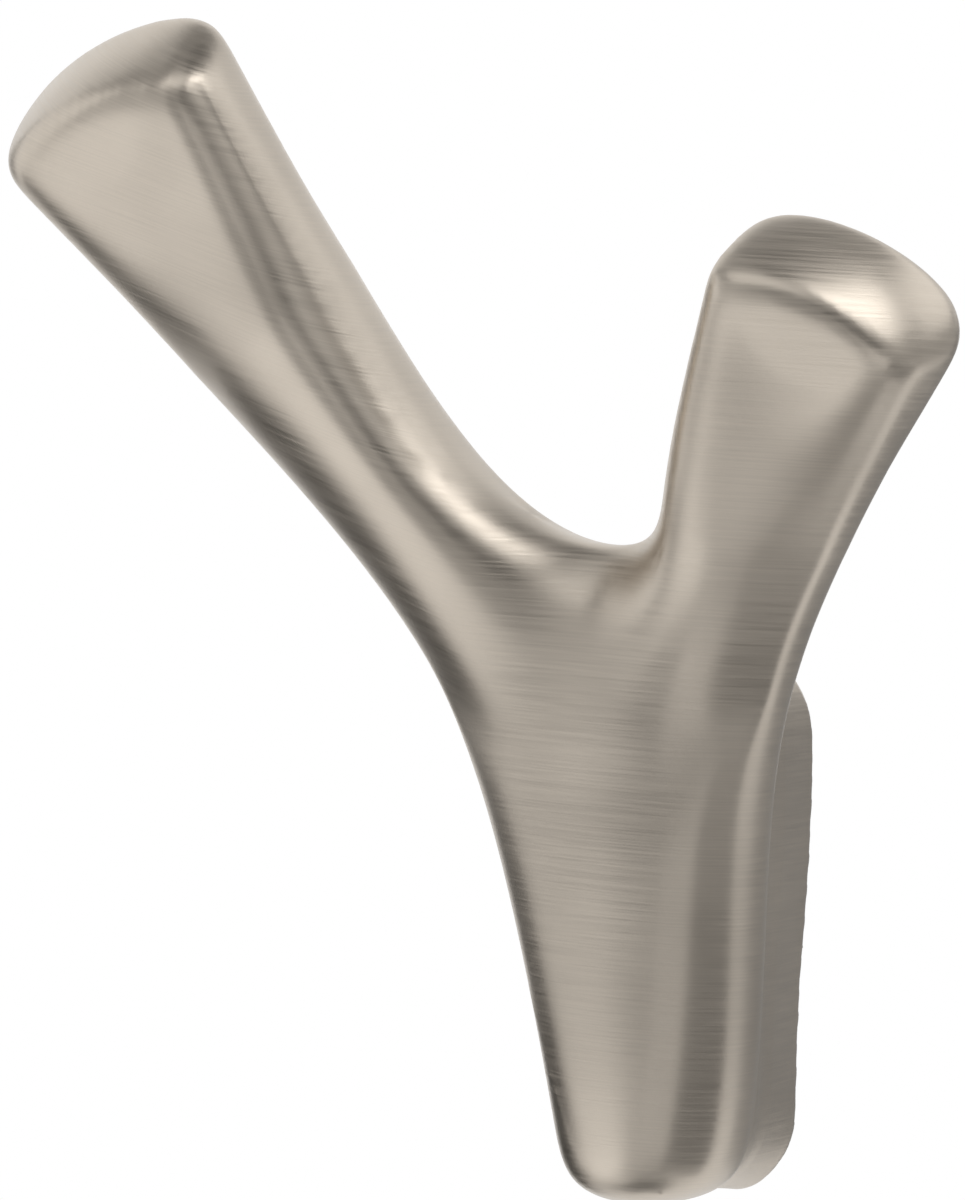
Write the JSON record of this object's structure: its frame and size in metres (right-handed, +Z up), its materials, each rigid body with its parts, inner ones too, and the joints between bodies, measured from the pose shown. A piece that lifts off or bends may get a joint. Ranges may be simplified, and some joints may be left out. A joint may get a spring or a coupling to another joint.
{
  "type": "double robe hook",
  "caption": "One-piece cast wall hook with an upright oval foot and a forked stem whose long and short arms flare to domed ends.",
  "frame": {"origin": "middle of the flat wall face of the foot, halfway between the two fixing holes", "axes": "+Y out of the wall face into the wall, +Z up the wall, +X towards the short arm"},
  "size_m": [0.0838, 0.0474, 0.1001],
  "materials": {
    "satin_nickel": "satin nickel plate, brushed across each limb"
  },
  "bodies": {
    "root": {"hook_body": "satin_nickel"}
  },
  "joints": []
}
